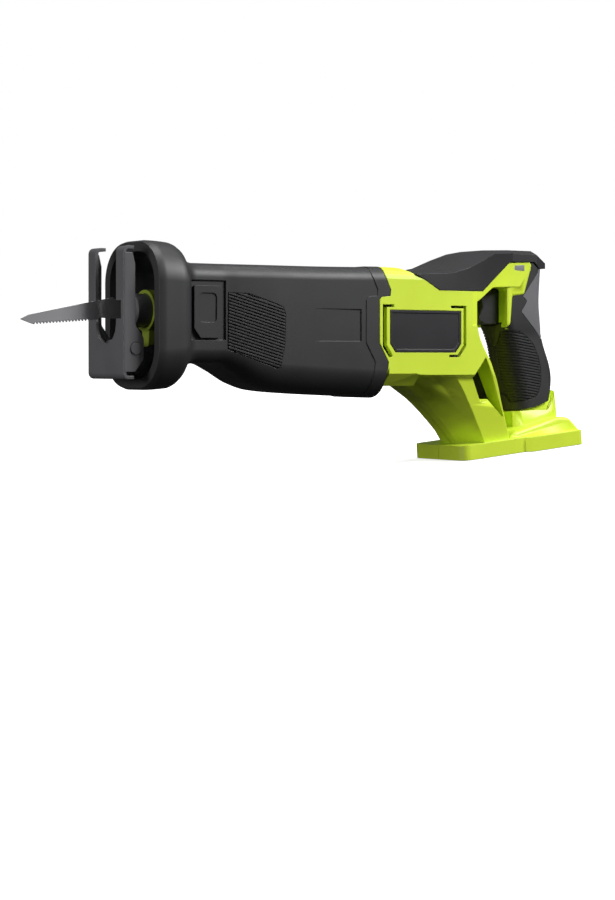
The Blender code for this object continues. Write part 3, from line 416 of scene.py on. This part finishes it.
PLATE = [(213.6, 2.2), (278.8, 2.2), (278.8, -21.5), (273.6, -27.8), (218.6, -27.8), (213.6, -21.5)]
FRONT_VENT = [(206.8, 6.3), (217, 6.3), (217, 4.4), (210.4, 4.4), (210.4, -22.8), (215.8, -30.2), (214.6, -31.6),
              (212.4, -31.6), (206.8, -24.4)]
REAR_VENT = [(269.6, 6.3), (284, 6.3), (284, -23.4), (277.6, -31.6), (267.8, -31.6), (267.8, -29.8), (276, -29.8),
             (281.4, -22.8), (281.4, 4.4), (269.6, 4.4)]
STRUT_POCKET = [(303, -31.5), (290.6, -46.8), (301.3, -65.8), (307.4, -62.8), (323.8, -76.4), (324.6, -75.8)]
for side, half_node in ((-1, "housing_left"), (1, "housing_right")):
    half = welded_copy(half_node, whole=False)
    half.data.transform(TOOL.inverted())
    # Trim the core inside the rounded grip
    shave = slab("grip_zone", [(325, -10.1), (400, -10.1), (400, -40), (380, -72), (340, -73), (325, -70)], -40, 40)
    carve(shave, form("grip_inside", HANDLE, grow=-2.7, axis='Z'))
    carve(half, shave)
    # Arm over the trigger, as wide as the body in front and as the handle behind
    arm = slab("arm", [(288, 8), (288, 38), (360.3, 41.3), (361, 35), (358, 33.3), (350, 22.4), (318.5, 21.2),
                       (316.6, 20.6), (297, 10)], *span(side, 0.27, CLEAR))
    carve(arm, form("arm_taper", ARM), 'INTERSECT')
    carve(half, arm, 'UNION')
    # Strut that narrows from the body to the foot, with a prow in front
    rings = []
    for level, front, back, wide, draw in eased(STRUT, 3):
        loop = [(front, 0.31), (front, 0.3 * wide), (front + draw, wide), (back - 3, wide), (back, wide - 3),
                (back, 0.31)]
        rings.append([(x, side * y, level) for x, y in loop])
    carve(half, tube("strut", rings), 'UNION')
    belly = [(0.37, -36.3), (35.05, -36.3), (35.05, -43.3), (26.4, -52.4), (0.37, -52.4)]
    carve(half, slab("belly", mirrored(belly, side), 212.6, 241, 'X'), 'UNION')
    # Fill the old plate recess on the left, then face the side flat
    if side < 0:
        field = [(204.5, 8), (286, 8), (286, -33), (207, -33)]
        carve(half, slab("plate_field", field, -BODY_SIDE - 0.05, -32.2), 'UNION')
    carve(half, slab("side_face", [(195, -70), (330, -70), (330, 70), (195, 70)], *span(side, SIDE_FACE, CLEAR)))
    if side < 0:
        grown = [(x + (PLATE_GAP if x > 245 else -PLATE_GAP), z + (PLATE_GAP if z > 0 else -PLATE_GAP))
                 for x, z in PLATE]
        carve(half, slab("plate_seat", grown, -50, -BODY_SIDE + PLATE_DEPTH))
        ahead = [(150, 60), *[(x + SEAM_GAP, z) for x, z in SEAM], (150, -80)]
        carve(half, slab("seam_front", ahead, -CLEAR, CLEAR))
    for name, vent in (("front_vent", FRONT_VENT), ("rear_vent", REAR_VENT)):
        carve(half, slab(name, vent, *span(side, 50, BODY_SIDE - VENT_DEPTH)))
    carve(half, slab("strut_pocket", STRUT_POCKET, *span(side, 50, POCKET_FLOOR)))
    # Close and lower the roof ahead of the cover, and seat the cover
    web = [(222, 27), (222, 31.5), (242, 29), (242, 25)]
    carve(half, slab("roof_web", web, *span(side, 0.35, 33)), 'UNION')
    dip = [(220, 60), (220, 34.6), (224, 33.6), (236, 29), (262, 29), (262, 60)]
    carve(half, slab("roof_dip", dip, -CLEAR, CLEAR))
    carve(half, slab("cover_seat", COVER_EDGE, -CLEAR, CLEAR))
    bpy.ops.object.mode_set(mode='EDIT')
    bpy.ops.mesh.select_all(action='SELECT')
    bpy.ops.mesh.dissolve_limited(angle_limit=radians(0.04))
    bpy.ops.object.mode_set(mode='OBJECT')
    finish_piece(seat(half), [half_node], "tool_body", lime_plastic, 24)


# Vent shade. A near-black sheet lies at the bottom of the vents and of the strut pocket on each side,
# painted shade for their dark insides, so that no light shows through them.
painted_shade_black = grained("painted_shade_black", (0.008, 0.008, 0.009), 0.7, grain=1200, bump=0.0001)
for side, word in ((-1, "left"), (1, "right")):
    for name, opening, level in (("front_vent_shade", FRONT_VENT, 30.3), ("rear_vent_shade", REAR_VENT, 30.3),
                                 ("pocket_shade", STRUT_POCKET, 17.8)):
        # Painted shade: a black sheet at the floor of each opening.
        shade_sheet = slab(name + "_" + word, opening, *span(side, level, level + 1))
        finish_piece(seat(shade_sheet), [], "tool_body", painted_shade_black)


# Name plate. A black plastic plate with a raised rim, snapped into the left side of the body and left bare.
# It has the same spark grain as the other mouldings, a little glossier.
plate_black = grained("plate_black", (0.018, 0.018, 0.02), 0.4, edge=0.0003)
plate = slab("name_plate", PLATE, -BODY_SIDE - 0.1, -BODY_SIDE + 1.2)
bpy.ops.object.mode_set(mode='EDIT')
bpy.ops.mesh.select_mode(type='FACE')
bpy.ops.mesh.select_all(action='DESELECT')
bpy.ops.object.mode_set(mode='OBJECT')
for face in plate.data.polygons:
    face.select = face.normal.y < -0.9
bpy.ops.object.mode_set(mode='EDIT')
bpy.ops.mesh.inset(thickness=1.6)
bpy.ops.mesh.inset(thickness=0.5, depth=-0.6)
bpy.ops.object.mode_set(mode='OBJECT')
finish_piece(seat(plate), ["nameplate"], "tool_body", plate_black)


# Boot. A thick rubber tube pulled over the gear case, flared into the guard ring round the shoe, with a
# lip along the seam to the housing and sunk places for the lever and the ribbed pads.
BOOT = [(20, 36.5, 46, -52.5, 27, 27), (23.5, 37.98, 47.2, -53.9, 28, 28), (39, 37.98, 46.3, -53, 28, 28),
        (44, 36.6, 43.6, -49.5, 26, 26), (47, 32, 38.5, -44, 18, 18), (50, 28, 34.4, -38.6, 12, 12),
        (56, 26, 32.5, -36, 10, 10), (76, 26, 32.5, -36, 10, 10), (90, 27.5, 32.5, -42, 10, 14),
        (104, 29, 32.5, -50, 10, 17), (120, 30.5, 32.5, -55, 10, 19), (140, 31.5, 32.5, -57, 10, 20),
        (218, 34.5, 33.4, -61, 10, 20)]
HOLLOW = [(14, 30.5, 40, -47, 22, 22), (36, 29.5, 38.5, -45, 20, 20), (46, 25.5, 32.2, -37.5, 12, 12),
          (56, 23.5, 30, -33.5, 7.5, 7.5), (84, 23.5, 30, -33.5, 7.5, 7.5)]
PAD = [(80.6, 12.7), (97, 12.2), (119, 5.2), (123.5, 3.2), (125.5, -1), (125, -22), (121.5, -39), (119, -39.8),
       (80.4, -26.3)]
PAD_REACH = (3, 45)    # how far across the tool the pad pockets and their ribs are cut
RIB_PITCH = 2.1
GROOVE = 0.95
charcoal_rubber = grained("charcoal_rubber", (0.019, 0.019, 0.0205), 0.5, grain=2200, drift=0.06, bump=0.00006,
                          edge=0.0006)
boot = form("boot_shell", BOOT, spacing=2.5, arc=12)
lip = slab("boot_lip", [*SEAM, *reversed([(x - 11, z) for x, z in SEAM])], -CLEAR, CLEAR)
carve(lip, form("boot_lip_face", BOOT, grow=0.5), 'INTERSECT')
carve(boot, lip, 'UNION')
carve(boot, slab("boot_seam", [(0, 60), *SEAM, (0, -80)], -CLEAR, CLEAR), 'INTERSECT')
carve(boot, form("boot_hollow", HOLLOW, spacing=3))
carve(boot, form("boot_back", [(186, 30, 29, -50, 8, 14), (226, 31, 29, -50, 8, 14)]))
carve(boot, slab("lever_recess", [(50.4, -20), (79, -20), (79, 20.7), (50.4, 20.7)], -40, -24.7))
for side in (-1, 1):
    pocket = slab("pad_pocket", PAD, *span(side, *PAD_REACH))
    carve(pocket, form("pad_floor", BOOT, grow=-1.3))
    carve(boot, pocket)
    dip = [(150, 31.9), (189, 32.5), (189, 40), (150, 40)]
    carve(boot, slab("boot_dip", [(x, side * y) for x, y in dip], -20.3, 2.5, 'Z'))
finish_piece(seat(boot), ["boot"], "tool_body", charcoal_rubber)


# Ribbed pads. Soft pads let into the sides of the boot, with fine ribs that slope down to the rear.
# The ribs are moulded in one piece with the pad.
def grooves(start, length, slope, count, table, axis, side):
    """Narrow bars at the pitch of the ribs, kept only where they lie outside the floor of the grooves."""
    bar = [(0, 0), (length, 0), (length, -GROOVE), (0, -GROOVE)]
    bars = slab("rib_grooves", bar, *span(side, *PAD_REACH))
    row = bars.modifiers.new("rows", 'ARRAY')
    row.count = count
    row.use_relative_offset = False
    row.use_constant_offset = True
    row.constant_offset_displace = (0, 0, -RIB_PITCH)
    bpy.ops.object.modifier_apply(modifier=row.name)
    bars.data.transform(Matrix.Translation((start[0], 0, start[1])) @ Matrix.Rotation(radians(slope), 4, 'Y'))
    return carve(bars, form("groove_floor", table, grow=-0.4, axis=axis))


def inset_outline(points, step):
    """Outline drawn in towards its middle by about the given step."""
    centre = sum((Vector(p) for p in points), Vector((0, 0))) / len(points)
    return [tuple(centre + (Vector(p) - centre) * (1 - step / (Vector(p) - centre).length)) for p in points]


pad_rubber = grained("pad_rubber", (0.017, 0.017, 0.018), 0.5, edge=0.0003)
for side, word in ((-1, "left"), (1, "right")):
    pad = slab("boot_pad_" + word + "_shell", inset_outline(PAD, 0.5), *span(side, *PAD_REACH))
    carve(pad, form("pad_face", BOOT, grow=0.5), 'INTERSECT')
    carve(pad, form("pad_back", BOOT, grow=-1.0))
    carve(pad, grooves((70, 28), 70, 16, 38, BOOT, 'X', side))
    finish_piece(seat(pad), ["boot_pad_" + word], "tool_body", pad_rubber)


# Top cover. A faceted saddle of charcoal plastic that clips over the roof of both halves and ends in a
# point on each side of the body; its flat facets meet in crisp ridges.
COVER = [(233, 35.3, 28.4, 14, 28.6), (272, 35.3, 30.6, 12, 35.6), (287, 34.4, 34.4, 12, 41.7),
         (303, 31.4, 40.4, 12, 46.9), (318, 27, 46.2, 13, 49.4), (342, 20.4, 47.6, 12.5, 50.3),
         (367, 19.4, 47, 12, 50.4), (378, 16.5, 41, 10, 44.2)]
cover_charcoal = grained("cover_charcoal", (0.02, 0.02, 0.0215), 0.42, edge=0.0005)
cover = tube("top_cover_shell", [[(x, -wide, 0), (x, wide, 0), (x, wide, shoulder), (x, crown, top), (x, -crown, top),
                                  (x, -wide, shoulder)] for x, wide, shoulder, crown, top in COVER])
carve(cover, slab("cover_edge", inset_outline(COVER_EDGE, 0.3), -CLEAR, CLEAR), 'INTERSECT')
carve(cover, form("cover_hollow", [(262, 31.3, 27, 0, 5, 5), (285, 30, 33, 0, 8, 8), (298, 28.5, 41, 0, 8, 8),
                                   (312, 24.5, 45, 0, 8, 8), (343, 16, 46, 0, 5, 5), (372, 15, 44, 0, 5, 5)]))
finish_piece(seat(cover), ["top_cover"], "tool_body", cover_charcoal, 12)


# Grip. Two halves of charcoal rubber moulded round the handle core, rounded for the fingers in front,
# with a horn that runs up behind the arm to the cover, and a ribbed pad let into each side.
GRIP_LOWER = [(410, -34), (387, -40), (380, -65), (371, -68.5), (347.5, -73), (320, -77)]
PAD_EDGE = [(369.6, 36.3), (369, 33.6), (354.3, 15.2), (358.4, 11.5), (352.8, 3.4), (373.6, -16.4), (410, -16.4)]
GRIP_PAD = [(338, -11.5), (352, -11.5), (361, -17), (366, -22), (370.5, -31), (372.8, -40), (373, -49), (371, -57),
            (367, -62.5), (350, -66), (342.5, -40)]
for side, word in ((-1, "left"), (1, "right")):
    inner, outer = span(side, 0.15, CLEAR)
    behind_arm = [(x + SEAM_GAP, z - SEAM_GAP) for x, z in ARM_BACK]
    before_pad = [(x - SEAM_GAP, z - SEAM_GAP) for x, z in PAD_EDGE]
    outline = [(320, -10), *reversed(behind_arm), (361, 41), (364.4, 41), (369.2, 36.6), *before_pad, *GRIP_LOWER]
    grip = slab("grip_" + word + "_shell", outline, inner, outer)
    carve(grip, form("grip_face", HANDLE, axis='Z', arc=12), 'INTERSECT')
    carve(grip, form("grip_core", HANDLE, grow=-2.4, axis='Z'))
    pocket = slab("pad_pocket", GRIP_PAD, inner, outer)
    carve(pocket, form("pad_floor", HANDLE, grow=-1.3, axis='Z'))
    carve(grip, pocket)
    finish_piece(seat(grip), ["grip_" + word], "tool_body", charcoal_rubber)
    pad = slab("grip_pad_" + word + "_shell", inset_outline(GRIP_PAD, 0.5), inner, outer)
    carve(pad, form("pad_face", HANDLE, grow=0.4, axis='Z', arc=12), 'INTERSECT')
    carve(pad, form("pad_back", HANDLE, grow=-1.0, axis='Z'))
    carve(pad, grooves((325, -7), 70, 8, 31, HANDLE, 'Z', side))
    finish_piece(seat(pad), ["grip_pad_" + word], "tool_body", pad_rubber)


# Rear pad. A softer grey rubber pad moulded over the back of the handle behind the hand.
# It fills the place between the horn of the grip and the cover, with a notch at its front edge.
grey_rubber = grained("grey_rubber", (0.13, 0.13, 0.14), 0.5, grain=2200, bump=0.00006, edge=0.0006)
rear_pad = slab("rear_pad_shell", [*PAD_EDGE, (410, 36.3)], -CLEAR, CLEAR)
carve(rear_pad, form("pad_face", HANDLE, axis='Z', arc=12), 'INTERSECT')
carve(rear_pad, form("pad_core", HANDLE, grow=-2.4, axis='Z'))
finish_piece(seat(rear_pad), ["rear_pad"], "tool_body", grey_rubber)


# Controls. A black trigger under the arm, its switch, and a grey lock-off button through the handle.
# Both are plain mouldings with rounded edges.
black_plastic = grained("black_plastic", (0.022, 0.022, 0.024), 0.38)
grey_plastic = grained("grey_plastic", (0.2, 0.2, 0.21), 0.45)
dress(["trigger"], "trigger", black_plastic)
dress(["switch_box", "terminal_block"], "tool_body", black_plastic)
dress(["lock_button"], "lock_button", grey_plastic)


# Battery terminals. Two blades of bright contact metal that stand in the socket of the foot.
# They are stamped from strip.
terminal_copper = grained("terminal_copper", (0.72, 0.36, 0.2), 0.3, grain=900, metal=1.0, stretch=(0.1, 1, 1))
dress(["terminal_left", "terminal_right"], "tool_body", terminal_copper)


# Housing screws. Six self-tapping screws driven from the right, sunk in their wells.
# They are plated steel.
dress(["housing_screw_%d" % number for number in range(1, 7)], "tool_body", bright_steel)


# Shoe. A slotted plate bent from black-coated sheet steel, on a pin through the end of its slide bar.
# The bar and the pin are coated too where they show.
shoe_steel = grained("shoe_steel", (0.085, 0.085, 0.09), 0.4, drift=0.1, edge=0.0008)
dress(["shoe"], "shoe", shoe_steel)
dress(["shoe_pin", "shoe_bracket"], "shoe_slide", black_steel)


# Shoe lever. A flat black lever in a recess of the boot's left side that frees the shoe bar.
# It is moulded with a shallow finger dish.
lever_black = grained("lever_black", (0.026, 0.026, 0.028), 0.42)
dress(["shoe_lever"], "shoe_lever", lever_black)


# Blade clamp. A turned collar on the nose of the plunger, black oxide, with a release lever round it.
# The lever is moulded in lime plastic and sits deep inside the guard ring, where its lime is painted dark olive as
# shade.
dress(["clamp_collar"], "saw_carrier", black_steel)
# Painted shade: lime darkened to olive for the lever deep in the ring.
shaded_clamp_lime = grained("shaded_clamp_lime", (0.16, 0.21, 0.012), 0.5)
dress(["clamp_lever"], "clamp_lever", shaded_clamp_lime)


# Blade. Stamped from spring strip, ground bright along its length, with the teeth cut on the lower edge.
# The grinding lines run along the blade.
blade_steel = grained("blade_steel", (0.5, 0.5, 0.52), 0.34, grain=1500, drift=0.1, bump=0.00002, edge=0.0001,
                      metal=1.0, stretch=(0.03, 1, 1))
dress(["blade"], "saw_carrier", blade_steel)
